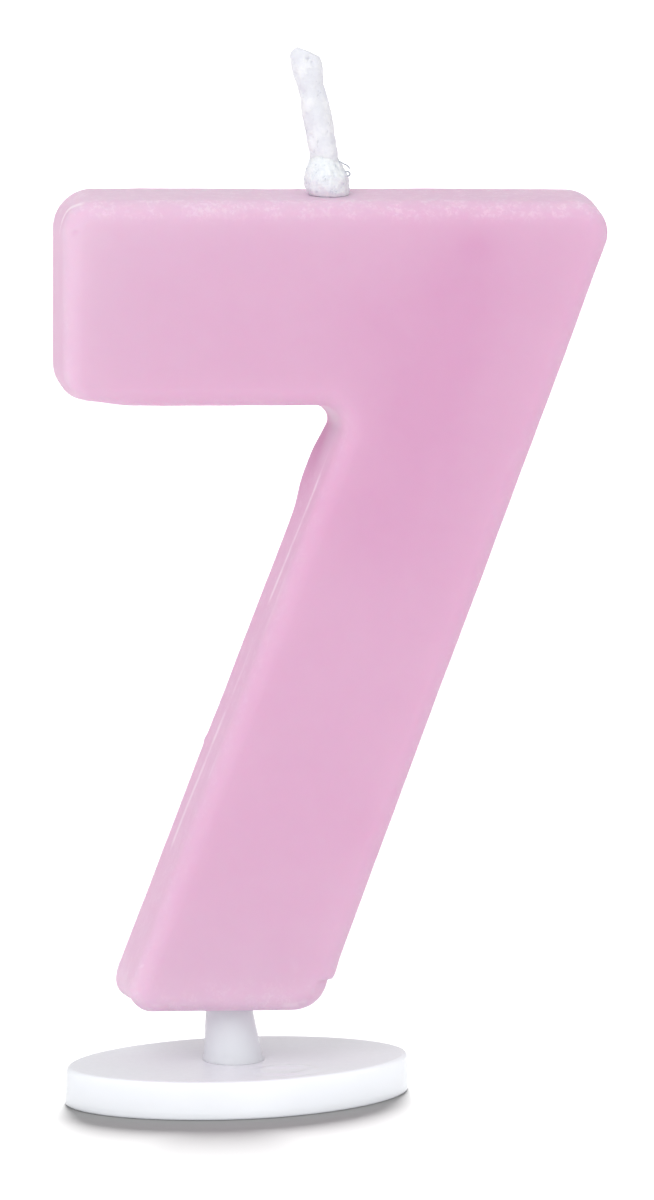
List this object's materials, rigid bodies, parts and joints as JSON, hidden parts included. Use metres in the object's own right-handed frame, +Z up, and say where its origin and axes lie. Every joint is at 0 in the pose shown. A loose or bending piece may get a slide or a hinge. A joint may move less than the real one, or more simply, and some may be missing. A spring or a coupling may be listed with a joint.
{
  "type": "number birthday candle",
  "caption": "Cast wax numeral candle, a seven, with a waxed cotton wick, pushed onto the peg of a small plastic holder with an oval foot",
  "frame": {"origin": "on the flat underside of the foot, where the stem's axis meets the surface the candle stands on", "axes": "+Z up, X along the width of the numeral with its bar's free end at -X, the numeral's front faces -Y"},
  "size_m": [0.0477, 0.0194, 0.0913],
  "materials": {
    "foot_plastic": "gloss",
    "stem_plastic": "satin",
    "pink_wax": "satin",
    "waxed_cotton": "matte",
    "white_wax": "satin"
  },
  "bodies": {
    "holder_foot": {"foot": "foot_plastic"},
    "holder_stem": {"stem_peg": "stem_plastic"},
    "candle": {"wax_numeral": "pink_wax", "wick": "waxed_cotton", "wick_seal": "white_wax"}
  },
  "joints": [
    {"name": "swivel", "type": "hinge", "parent": "holder_foot", "child": "holder_stem", "pos_m": [0, 0, 0.0033], "axis": [0, 0, 1], "continuous": true},
    {"name": "lift_off", "type": "slide", "parent": "holder_stem", "child": "candle", "axis": [0, 0, 1], "range_m": [0, 0.012]}
  ]
}
